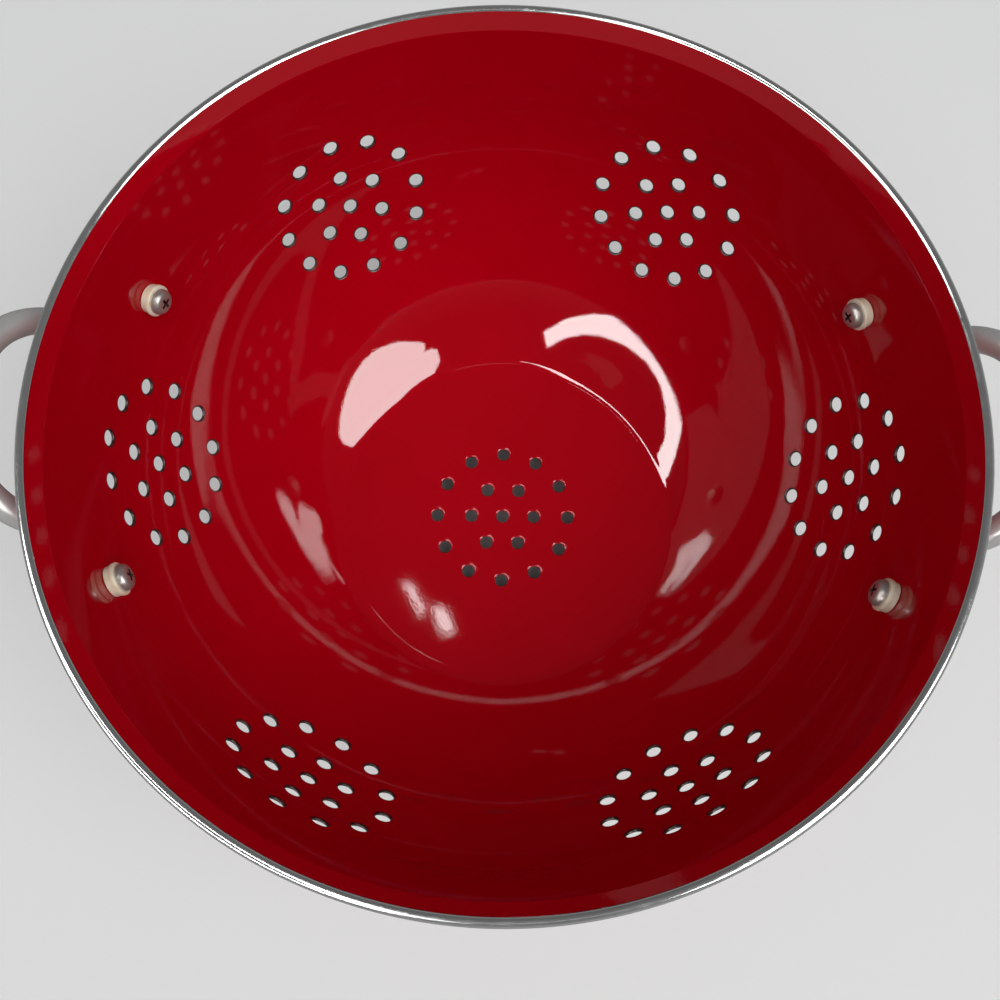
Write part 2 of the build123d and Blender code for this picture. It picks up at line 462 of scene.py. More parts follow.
@dataclass(frozen=True)
class PolishedSteel(Finish):
    """Polished stainless steel of the rim band."""

    slot: Slot = Slot.RIM
    colour: tuple[float, ...] = (0.62, 0.63, 0.62, 1)
    metallic: float = 0.82
    roughness: Point2 = (0.1, 0.17)
    mark_size: float = 5.0

    def build(self) -> bpy.types.Material:
        """Steel with fine rolling marks."""
        sheet = self.sheet()
        marks = sheet.noise(self.mark_size)
        sheet.set(
            base_color=self.colour,
            metallic=self.metallic,
            roughness=sheet.ramp(marks, *NOISE_SPREAD, *self.roughness),
        )
        return sheet.material


@dataclass(frozen=True)
class BrushedSteel(Finish):
    """Brushed stainless steel of the handles."""

    slot: Slot = Slot.HANDLE
    colour: tuple[float, ...] = (0.56, 0.56, 0.55, 1)
    metallic: float = 0.45
    roughness: Point2 = (0.3, 0.42)
    band_size: float = 9.0
    scratch_size: float = 0.35
    scratch_depth: float = 0.004
    scratch_stretch: Station = (1, 8, 1)

    def build(self) -> bpy.types.Material:
        """Steel with soft bands and short scratches."""
        sheet = self.sheet()
        bands = sheet.noise(self.band_size)
        scratches = sheet.noise(self.scratch_size, stretch=self.scratch_stretch)
        sheet.set(
            base_color=self.colour,
            metallic=self.metallic,
            roughness=sheet.ramp(bands, *NOISE_SPREAD, *self.roughness),
            normal=sheet.bump(scratches, self.scratch_depth),
        )
        return sheet.material


@dataclass(frozen=True)
class PlainSteel(Finish):
    """Dull stainless steel of the screws and nuts."""

    slot: Slot = Slot.SCREW
    colour: tuple[float, ...] = (0.36, 0.33, 0.31, 1)
    metallic: float = 0.6
    roughness: Point2 = (0.28, 0.42)
    grain_size: float = 0.5
    grain_depth: float = 0.004

    def build(self) -> bpy.types.Material:
        """Steel with a fine grain."""
        sheet = self.sheet()
        grain = sheet.noise(self.grain_size, 3.0)
        sheet.set(
            base_color=self.colour,
            metallic=self.metallic,
            roughness=sheet.ramp(grain, *NOISE_SPREAD, *self.roughness),
            normal=sheet.bump(grain, self.grain_depth),
        )
        return sheet.material


@dataclass(frozen=True)
class CreamNylon(Finish):
    """Cream nylon of the washers."""

    slot: Slot = Slot.NYLON
    colour: tuple[float, ...] = (0.83, 0.77, 0.62, 1)
    stained: tuple[float, ...] = (0.72, 0.62, 0.44, 1)
    roughness: float = 0.42
    translucency: float = 0.15
    patch_size: float = 3.0
    patch_depth: float = 0.01
    patch_spread: Point2 = (0.4, 0.7)

    def build(self) -> bpy.types.Material:
        """Nylon, yellowed in patches."""
        sheet = self.sheet()
        patches = sheet.noise(self.patch_size, 3.0)
        stains = sheet.ramp(patches, *self.patch_spread)
        sheet.set(
            base_color=sheet.mix(stains, self.colour, self.stained),
            roughness=self.roughness,
            subsurface_weight=self.translucency,
            subsurface_scale=MM,
            normal=sheet.bump(patches, self.patch_depth),
        )
        return sheet.material


@dataclass(frozen=True)
class BowlSection:
    """The bowl's section, in millimetres: floor, blend, lower curve, side, straight wall, lip."""

    rim_height: float
    rim_radius: float
    depth: float = 124.8
    wall: float = 1.0
    base_radius: float = 66.5
    base_blend: float = 10.0
    side_inset: float = 8.144
    side_taper: float = 4.0
    straight_share: float = 0.226
    lower_drop_share: float = 0.705
    lower_reach_share: float = 0.6452
    wall_taper: float = 7.3
    lip_drop: float = 4.35
    lip_angle: float = 64.0
    lip_bend: float = 0.75
    lip_inset: float = 2.35

    @property
    def base_height(self) -> float:
        """Height of the middle of the base sheet."""
        return self.rim_height - self.depth

    @property
    def straight_drop(self) -> float:
        """Distance from the rim down to the end of the straight wall."""
        return self.depth * self.straight_share

    def joins(self) -> tuple[Vector, Vector]:
        """Two points of the side's curve, upper first."""
        start = self.rim_radius - self.side_inset
        reach = self.base_radius + (start - self.base_radius) * self.lower_reach_share
        return (
            Vector((start, self.rim_height - self.straight_drop)),
            Vector((reach, self.rim_height - self.depth * self.lower_drop_share)),
        )

    def side_curve(self) -> tuple[Point2, float]:
        """The side's curve's centre and its radius."""
        start, join = self.joins()
        taper = math.radians(self.side_taper)
        return tangent_arc(start, join, Vector((math.cos(taper), -math.sin(taper))))

    def lower_curve(self) -> tuple[Point2, float, float]:
        """The lower curve's centre, its radius and the slope where it meets the side's curve."""
        middle, side_radius = self.side_curve()
        join = self.joins()[1]
        below = math.asin((middle[1] - join.y) / side_radius)
        outwards = Vector((math.cos(below), -math.sin(below)))
        corner = Vector((self.base_radius, self.base_height))
        return *tangent_arc(join, corner, outwards), 90 - math.degrees(below)

    def stations(self) -> list[Station]:
        """The middle of the sheet from the axis to the lip's edge.

        Returns:
            Radius, height and slope in degrees at each station.
        """
        blend, base = self.base_blend, self.base_height
        lower_middle, lower_radius, join_slope = self.lower_curve()
        rise = base + blend - lower_middle[1]
        reach = math.sqrt((lower_radius - blend) ** 2 - rise**2)
        blend_middle = (lower_middle[0] + reach, base + blend)
        blend_slope = math.degrees(math.atan2(reach, -rise))
        floor_shares = (0, 0.2, 0.4, 0.6, 0.8)
        rows = [(blend_middle[0] * share, base, 0.0) for share in floor_shares]
        rows += slope_arc(blend_middle, blend, 0.0, blend_slope, 10)
        rows += slope_arc(lower_middle, lower_radius, blend_slope, join_slope, 14)[1:]
        top_slope = 90 - self.wall_taper
        rows += slope_arc(*self.side_curve(), join_slope, top_slope, 24)[1:]
        wall_end = Vector(rows[-1][:2])
        up_wall = Vector((math.cos(math.radians(top_slope)), math.sin(math.radians(top_slope))))
        rise = self.rim_height - self.lip_drop - wall_end.y
        corner = wall_end + up_wall * rise / up_wall.y
        half_turn = math.radians(top_slope - self.lip_angle) / 2
        back = self.lip_bend * math.tan(half_turn)
        outwards = Vector((up_wall.y, -up_wall.x))
        bend_middle = corner - up_wall * back + outwards * self.lip_bend
        rows += slope_arc(tuple(bend_middle), -self.lip_bend, top_slope, self.lip_angle, 8)
        reach = self.rim_radius - self.lip_inset - rows[-1][0]
        rise = reach * math.tan(math.radians(self.lip_angle))
        rows.append((rows[-1][0] + reach, rows[-1][1] + rise, self.lip_angle))
        return rows

    def face(self, shift: float) -> list[Point2]:
        """The section of a face at this distance outside the sheet's middle."""
        return [
            (
                max(radius + shift * math.sin(math.radians(slope)), 0.0),
                height - shift * math.cos(math.radians(slope)),
            )
            for radius, height, slope in self.stations()
        ]

    def wall_place(self, azimuth: float, drop: float) -> Matrix:
        """A place on the middle of the side wall.

        Args:
            azimuth: Degrees round the bowl from +X.
            drop: Distance below the rim.

        Returns:
            A matrix whose X runs level round the wall, Y up it and Z outwards.
        """
        (middle_radius, middle_height), side_radius = self.side_curve()
        below = math.asin((middle_height - (self.rim_height - drop)) / side_radius)
        turn = math.radians(azimuth)
        radius = middle_radius + side_radius * math.cos(below)
        outwards = Vector(
            (math.cos(turn) * math.cos(below), math.sin(turn) * math.cos(below), -math.sin(below))
        )
        level = Vector((-math.sin(turn), math.cos(turn), 0))
        origin = Vector((radius * math.cos(turn), radius * math.sin(turn), self.rim_height - drop))
        return frame_matrix(origin, level, outwards)

    def on_wall(self, place: Matrix, across: float, up: float) -> Matrix:
        """A place on the side's curve, straight out from a point of another place's plane.

        Args:
            place: The place whose plane holds the point.
            across: The point's X in that plane.
            up: The point's Y in that plane.

        Returns:
            A matrix on the middle of the sheet, with Z square to it and outwards.
        """
        (middle_radius, middle_height), side_radius = self.side_curve()
        direction = place.col[2].to_3d()
        point = place @ Vector((across, up, 0))
        for _ in range(4):
            round_axis = Vector((point.x, point.y, 0)).normalized()
            spoke = point - round_axis * middle_radius - Vector((0, 0, middle_height))
            outwards = spoke.normalized()
            point -= direction * (spoke.length - side_radius) / outwards.dot(direction)
        level = Vector((-round_axis.y, round_axis.x, 0))
        return frame_matrix(point, level, outwards)


def slope_arc(centre: Point2, radius: float, start: float, end: float, steps: int) -> list[Station]:
    """Stations along an arc, told by the slope of the sheet.

    Args:
        centre: The arc's centre, as radius and height.
        radius: Its radius, negative where the centre lies outside the bowl.
        start: First slope in degrees.
        end: Last slope in degrees.
        steps: Number of chords.

    Returns:
        Radius, height and slope at each station.
    """
    rows = []
    for step in range(steps + 1):
        slope = start + (end - start) * step / steps
        turn = math.radians(slope)
        rows.append((centre[0] + radius * math.sin(turn), centre[1] - radius * math.cos(turn), slope))
    return rows


def tangent_arc(start: Vector, end: Vector, outwards: Vector) -> tuple[Point2, float]:
    """The arc between two points whose normal at the first one is known.

    Args:
        start: First point.
        end: Second point.
        outwards: Direction from the arc's centre to the first point.

    Returns:
        The centre and the radius.
    """
    chord = start - end
    radius = chord.length_squared / (2 * chord.dot(outwards))
    return tuple(start - outwards * radius), radius


def squared(turn: float, power: float) -> Point2:
    """A point of the unit circle, or of a squarer outline where the power is above 2."""
    x, y = math.cos(turn), math.sin(turn)
    return math.copysign(abs(x) ** (2 / power), x), math.copysign(abs(y) ** (2 / power), y)


def frame_matrix(origin: Vector, across: Vector, outwards: Vector) -> Matrix:
    """A matrix with this origin, X across and Z outwards."""
    matrix = Matrix((across, outwards.cross(across), outwards)).transposed().to_4x4()
    matrix.translation = origin
    return matrix


@dataclass
class Bowl:
    """The enamelled bowl with its drain holes and rounded hole edges."""

    section: BowlSection
    finish: Finish
    edge_finish: Finish
    hole_radius: float = 2.5
    screw_hole_radius: float = 2.2
    edge_round: float = 0.42
    base_edge_reach: float = 1.15
    ring_radii: tuple[float, ...] = (12.7, 26.5)
    ring_counts: tuple[int, ...] = (6, 12)
    cluster_count: int = 6
    cluster_drop_share: float = 0.505
    facets: int = 288
    hole_facets: int = 28
    edge_steps: int = 5

    def pattern(self, start: float) -> list[Point2]:
        """Hole places of one cluster: a middle hole and two rings round it."""
        places: list[Point2] = [(0.0, 0.0)]
        for radius, count in zip(self.ring_radii, self.ring_counts):
            for index in range(count):
                turn = math.radians(start + 360 * index / count)
                places.append((radius * math.cos(turn), radius * math.sin(turn)))
        return places

    def base_places(self) -> list[Matrix]:
        """The places of the drain holes in the base."""
        base = Matrix.Translation((0, 0, self.section.base_height)) @ Matrix.Rotation(math.pi, 4, "X")
        return [base @ Matrix.Translation((x, y, 0)) for x, y in self.pattern(0)]

    def wall_places(self) -> list[Matrix]:
        """The places of the drain holes in the wall, each square to the sheet."""
        places: list[Matrix] = []
        for number in range(self.cluster_count):
            turn = 360 * number / self.cluster_count
            middle = self.section.wall_place(turn, self.section.depth * self.cluster_drop_share)
            places += [self.section.on_wall(middle, x, y) for x, y in self.pattern(90)]
        return places

    def spool(self, radius: float, reach: float) -> bpy.types.Mesh:
        """A cutter for one hole, flared at both ends so that the hole's edges come out round.

        Args:
            radius: The hole's radius.
            reach: How far out from the hole the sheet starts to turn down.

        Returns:
            The cutter's mesh.
        """
        half, rounding = self.section.wall / 2, self.edge_round
        turn_in = arc_points((0, 0), 1, 90, 180, self.edge_steps)
        side = [(radius + reach + reach * x, half - rounding + rounding * z) for x, z in turn_in]
        above = 3 * half
        wide = (radius + reach + rounding, half + rounding / 4)
        upper = [(0, above), (wide[0], above), wide, *side]
        lower = [(r, -z) for r, z in reversed(upper)]
        bm = spun(upper + lower, self.hole_facets, closed=False)
        mesh = bpy.data.meshes.new("spool")
        bm.to_mesh(mesh)
        bm.free()
        return mesh

    def cutter(self, screw_places: Iterable[Matrix]) -> bpy.types.Object:
        """All the hole cutters as one object."""
        bm = bmesh.new()
        for radius, reach, places, edge in (
            (self.hole_radius, self.base_edge_reach, self.base_places(), Edge.ROLLED),
            # The wall's holes and the screw holes get edges painted dark as shade.
            (self.hole_radius, self.edge_round, self.wall_places(), Edge.DARK),
            (self.screw_hole_radius, self.edge_round, screw_places, Edge.DARK),
        ):
            spool = self.spool(radius, reach)
            for place in places:
                copy = spool.copy()
                copy.transform(place)
                fresh = len(bm.faces)
                bm.from_mesh(copy)
                bm.faces.ensure_lookup_table()
                for face in bm.faces[fresh:]:
                    face.material_index = edge.value
                bpy.data.meshes.remove(copy)
            bpy.data.meshes.remove(spool)
        return mesh_object(bm, "hole_cutters")

    def build(self, screw_places: Iterable[Matrix]) -> bpy.types.Object:
        """Spins the shell, cuts the holes and gives it the section's own smooth normals."""
        half = self.section.wall / 2
        profile = self.section.face(-half) + list(reversed(self.section.face(half)))
        shell = mesh_object(spun(profile, self.facets, closed=False), "enamel_bowl")
        cutter = self.cutter(screw_places)
        for piece in (shell, cutter):
            for _ in range(1 + len(Edge)):
                piece.data.materials.append(None)
        cut(shell, cutter)
        self.smooth(shell)
        # Painted shade on the edges of the wall's holes and the screw holes.
        shell.data.materials[Edge.DARK.value] = self.edge_finish.material()
        shell.data.materials[Edge.ROLLED.value] = self.finish.material()
        return dress(shell, self.finish, "bowl")

    def smooth(self, shell: bpy.types.Object) -> None:
        """Sets the normals of the sheet from its section, and leaves the hole edges' own."""
        mesh = shell.data
        count = len(mesh.vertices)
        co = np.empty(count * 3)
        mesh.vertices.foreach_get("co", co)
        co = co.reshape(-1, 3) / MM
        rows = np.array(self.section.stations())
        slope = nearest_slope(rows, np.hypot(co[:, 0], co[:, 1]), co[:, 2])
        spoke = np.maximum(np.hypot(co[:, 0], co[:, 1]), 1e-6)
        outwards = np.column_stack(
            (
                co[:, 0] / spoke * np.sin(slope),
                co[:, 1] / spoke * np.sin(slope),
                -np.cos(slope),
            )
        )
        normals = np.array([loop.vector for loop in mesh.corner_normals])
        for polygon in mesh.polygons:
            if polygon.material_index:
                continue
            for loop in polygon.loop_indices:
                normal = outwards[mesh.loops[loop].vertex_index]
                facing = normal @ np.array(polygon.normal)
                normals[loop] = normal if facing > 0 else -normal
        mesh.normals_split_custom_set(normals.tolist())


def nearest_slope(rows: np.ndarray, radius: np.ndarray, height: np.ndarray) -> np.ndarray:
    """The sheet's slope in radians at the station nearest to each point.

    Args:
        rows: Radius, height and slope in degrees of the stations.
        radius: Each point's distance from the axis.
        height: Each point's height.

    Returns:
        The slope, worked out between stations.
    """
    best = np.full(len(radius), np.inf)
    slope = np.zeros(len(radius))
    for first, last in zip(rows[:-1], rows[1:]):
        run = last[:2] - first[:2]
        along = (radius - first[0]) * run[0] + (height - first[1]) * run[1]
        share = np.clip(along / (run @ run), 0, 1)
        gap = np.hypot(radius - first[0] - share * run[0], height - first[1] - share * run[1])
        nearer = gap < best
        best[nearer] = gap[nearer]
        slope[nearer] = (first[2] + share * (last[2] - first[2]))[nearer]
    return np.radians(slope)


@dataclass
class RimBand:
    """The steel tube rolled over the lip."""

    section: BowlSection
    finish: Finish
    width: float = 3.0
    thickness: float = 3.0
    lift: float = 0.15
    sheet: float = 0.35
    slit: float = 2.0
    slit_angle: float = 208.0
    facets: int = 288
    steps: int = 14

    def build(self) -> bpy.types.Object:
        """Spins the slotted tube."""
        half_width, half_thickness = self.width / 2, self.thickness / 2
        inside = half_thickness - self.sheet
        straight = half_width - half_thickness
        middle_radius = self.section.rim_radius - half_width
        middle_height = self.section.rim_height + self.lift
        open_at = self.slit_angle

        def run(radius: float) -> list[Point2]:
            """The tube's face at this radius, from one side of the slit round to the other."""
            gap = math.degrees(math.asin(self.slit / 2 / radius))
            right = (middle_radius + straight, middle_height)
            left = (middle_radius - straight, middle_height)
            return (
                arc_points(left, radius, open_at + gap - 360, -90, self.steps // 2)
                + arc_points(right, radius, -90, 90, self.steps)
                + arc_points(left, radius, 90, open_at - gap, self.steps)
            )

        profile = run(half_thickness) + list(reversed(run(inside)))
        piece = mesh_object(spun(profile, self.facets), "rim_tube")
        crease_by_angle(piece, 35)
        return dress(piece, self.finish, "rim_band")


@dataclass
class FootRing:
    """The pressed ring under the base, with its two flanges and four drain slots."""

    section: BowlSection
    finish: Finish
    height: float = 12.0
    sheet: float = 1.0
    top_radius: float = 62.0
    bottom_radius: float = 65.0
    weld_flange: float = 5.0
    rest_flange: float = 3.5
    bend: float = 0.8
    edge_round: float = 0.3
    slot_length: float = 12.0
    slot_height: float = 3.6
    slot_count: int = 4
    facets: int = 192

    def build(self) -> bpy.types.Object:
        """Spins the ring and cuts its slots."""
        outer_bend = self.bend + self.sheet
        corners = (
            (self.top_radius - self.weld_flange, self.height, self.edge_round),
            (self.top_radius, self.height, outer_bend),
            (self.bottom_radius, self.sheet, self.bend),
            (self.bottom_radius + self.rest_flange, self.sheet, self.edge_round),
            (self.bottom_radius + self.rest_flange, 0, self.edge_round),
            (self.bottom_radius - self.sheet, 0, outer_bend),
            (self.top_radius - self.sheet, self.height - self.sheet, self.bend),
            (self.top_radius - self.weld_flange, self.height - self.sheet, self.edge_round),
        )
        piece = mesh_object(spun(rounded_outline(corners, 5), self.facets), "foot_skirt")
        cut(piece, self.slots())
        crease_by_angle(piece, 40)
        return dress(piece, self.finish, "foot_ring")

    def slots(self) -> bpy.types.Object:
        """Cutters for the drain slots, as one object."""
        bm = bmesh.new()
        half = self.slot_height / 2
        for number in range(self.slot_count):
            made = bmesh.ops.create_cube(bm, size=1)["verts"]
            bmesh.ops.scale(bm, vec=(self.top_radius, self.slot_length, self.slot_height), verts=made)
            own = [edge for edge in bm.edges if edge.verts[0] in made]
            ends = [edge for edge in own if abs(edge.verts[0].co.x - edge.verts[1].co.x) > 1]
            shaped = bmesh.ops.bevel(
                bm, geom=ends, offset=half * 0.99, affect="EDGES", segments=6, profile=0.5, material=-1
            )
            loose = {v for face in shaped["faces"] for v in face.verts} | {v for v in made if v.is_valid}
            turn = Matrix.Rotation(math.radians(360 * (number + 0.5) / self.slot_count), 4, "Z")
            place = turn @ Matrix.Translation((self.top_radius, 0, self.height / 2))
            bmesh.ops.transform(bm, matrix=place, verts=list(loose))
        return mesh_object(bm, "slot_cutters")


@dataclass
class Handle:
    """A rod handle with a flat tab at each end."""

    section: BowlSection
    finish: Finish
    side: Side
    tab_height: float
    rod_diameter: float = 8.0
    grip_stand_off: float = 16.8
    grip_drop: float = 3.9
    loop_width: float = 63.0
    corner_share: float = 0.8
    knee_radius: float = 12.0
    tab_run: float = 18.0
    tab_thickness: float = 2.6
    tab_width: float = 13.0
    neck_width: float = 10.5
    neck_thickness: float = 4.4
    hole_radius: float = 2.2
    flat_run: float = 5.5
    flat_shares: tuple[float, ...] = (0, 0.2, 0.4)
    swell_share: float = 0.82
    tab_squareness: float = 5.0
    rod_squareness: float = 2.0
    ring_steps: int = 32
    spacing: float = 1.2
    weld: float = 0.005

    def route(self, place: Matrix) -> list[tuple[Vector, float]]:
        """The middle of the back half, from the screw to the middle of the grip.

        Args:
            place: The back screw's place on the wall.

        Returns:
            Points along it, each with its share of the way round the knee.
        """
        reach = self.section.rim_radius + self.grip_stand_off
        height = self.section.rim_height - self.grip_drop
        screw = place @ Vector((0, 0, self.tab_height + self.tab_thickness / 2))
        along = -place.col[0].to_3d()
        corners = [
            (screw, 0.0),
            (screw + along * self.tab_run, self.knee_radius),
            (Vector((reach, self.loop_width / 2, height)), self.loop_width / 2 * self.corner_share),
            (Vector((reach, 0, height)), 0.0),
        ]
        points: list[tuple[Vector, float]] = []
        for index, (corner, radius) in enumerate(corners):
            if radius == 0:
                points.append((corner, 0.0 if index == 0 else 1.0))
                continue
            back = (corners[index - 1][0] - corner).normalized()
            on = (corners[index + 1][0] - corner).normalized()
            half = back.angle(on) / 2
            middle = corner + (back + on).normalized() * radius / math.sin(half)
            first = corner + back * radius / math.tan(half) - middle
            axis = back.cross(on)
            turn = -(math.pi - 2 * half)
            steps = max(6, round(radius * abs(turn) / self.spacing))
            for step in range(steps + 1):
                share = step / steps
                spoke = Matrix.Rotation(turn * share, 3, axis) @ first
                points.append((middle + spoke, share if index == 1 else 1.0))
        return points

    def rows(self, place: Matrix) -> list[tuple[Vector, Vector, float, float, float]]:
        """The rings of the back half, from the tab's rounded tip to the middle of the grip.

        Args:
            place: The back screw's place on the wall.

        Returns:
            Each ring's middle, heading, half width, half height and squareness.
        """
        route = self.route(place)
        along = -place.col[0].to_3d()
        start = route[0][0]
        half_tab, half_thick = self.tab_width / 2, self.tab_thickness / 2
        half_neck, half_swell = self.neck_width / 2, self.neck_thickness / 2
        half_rod = self.rod_diameter / 2
        rows = []
        for angle in range(4, 90, 8):
            back = math.cos(math.radians(angle)) * half_tab
            half_width = math.sqrt(half_tab**2 - back**2)
            rows.append((start - along * back, along, half_width, half_thick, self.tab_squareness))
        run = (route[1][0] - start).length
        flat_share = self.flat_run / run
        for share in (*self.flat_shares, flat_share, self.swell_share):
            swell = max(0.0, (share - flat_share) / (1 - flat_share))
            rows.append(
                (
                    start + along * run * share,
                    along,
                    half_tab + (half_neck - half_tab) * share,
                    half_thick + (half_swell - half_thick) * swell,
                    self.tab_squareness + (self.rod_squareness - self.tab_squareness) * swell,
                )
            )
        last = len(route) - 1
        for index, (point, share) in enumerate(route[1:], 1):
            tangent = (route[min(index + 1, last)][0] - route[index - 1][0]).normalized()
            if index == last:
                tangent = Vector((0, -1, 0))
            half_width = half_neck + (half_rod - half_neck) * share
            half_height = half_swell + (half_rod - half_swell) * share
            rows.append((point, tangent, half_width, half_height, self.rod_squareness))
        return rows

    def grow(
        self, bm: bmesh.types.BMesh, ring: list[bmesh.types.BMEdge], order: list[bmesh.types.BMVert]
    ) -> tuple[list[bmesh.types.BMEdge], list[bmesh.types.BMVert]]:
        """Adds one more ring to the rod, or the first one with its cap.

        Args:
            bm: The rod's mesh.
            ring: Edges of the last ring, none at the start.
            order: Its vertices in order.

        Returns:
            The new ring's edges and its vertices in the same order.
        """
        if not ring:
            order = bmesh.ops.create_circle(bm, segments=self.ring_steps, radius=1)["verts"]
            ring = list({edge for vert in order for edge in vert.link_edges})
            bmesh.ops.contextual_create(bm, geom=ring)
            return ring, order
        grown = bmesh.ops.extrude_edge_only(bm, edges=ring)["geom"]
        fresh = {part for part in grown if isinstance(part, bmesh.types.BMVert)}
        partners = []
        for vert in order:
            others = (edge.other_vert(vert) for edge in vert.link_edges)
            partners.append(next(other for other in others if other in fresh))
        edges = (part for part in grown if isinstance(part, bmesh.types.BMEdge))
        return [edge for edge in edges if set(edge.verts) <= fresh], partners

    def build(self, place: Matrix) -> bpy.types.Object:
        """Extrudes the back half ring by ring, mirrors it and bores the tabs."""
        bm = bmesh.new()
        normal, wide = place.col[2].to_3d(), place.col[1].to_3d()
        heading = -place.col[0].to_3d()
        ring: list[bmesh.types.BMEdge] = []
        order: list[bmesh.types.BMVert] = []
        for point, tangent, half_width, half_height, squareness in self.rows(place):
            turn = heading.rotation_difference(tangent)
            wide, normal, heading = turn @ wide, turn @ normal, tangent
            ring, order = self.grow(bm, ring, order)
            for step, vert in enumerate(order):
                x, y = squared(FULL_TURN * step / self.ring_steps, squareness)
                vert.co = point + wide * x * half_width + normal * y * half_height
        parts = bm.verts[:] + bm.edges[:] + bm.faces[:]
        bmesh.ops.mirror(bm, geom=parts, axis="Y", merge_dist=2 * self.weld)
        if self.side is Side.LEFT:
            bmesh.ops.scale(bm, vec=(-1, 1, 1), verts=bm.verts)
        bmesh.ops.remove_doubles(bm, verts=bm.verts, dist=self.weld)
        bmesh.ops.recalc_face_normals(bm, faces=bm.faces)
        piece = mesh_object(bm, f"handle_rod_{self.side.name.lower()}")
        for end in End:
            cut(piece, self.bore(place, end))
        crease_by_angle(piece, 50)
        return dress(piece, self.finish, f"handle_{self.side.name.lower()}")

    def bore(self, place: Matrix, end: End) -> bpy.types.Object:
        """The cutter for one tab's screw hole.

        Args:
            place: The place on the wall of the right side's back screw.
            end: The end of the handle.

        Returns:
            The cutter.
        """
        low = self.tab_height - self.tab_thickness
        high = self.tab_height + 2 * self.tab_thickness
        profile = [(0, low), (self.hole_radius, low), (self.hole_radius, high), (0, high)]
        bm = spun(profile, self.ring_steps, closed=False)
        bmesh.ops.transform(bm, matrix=place, verts=bm.verts)
        bmesh.ops.scale(bm, vec=(self.side.value, end.value, 1), verts=bm.verts)
        bmesh.ops.recalc_face_normals(bm, faces=bm.faces)
        return mesh_object(bm, "bore_cutter")


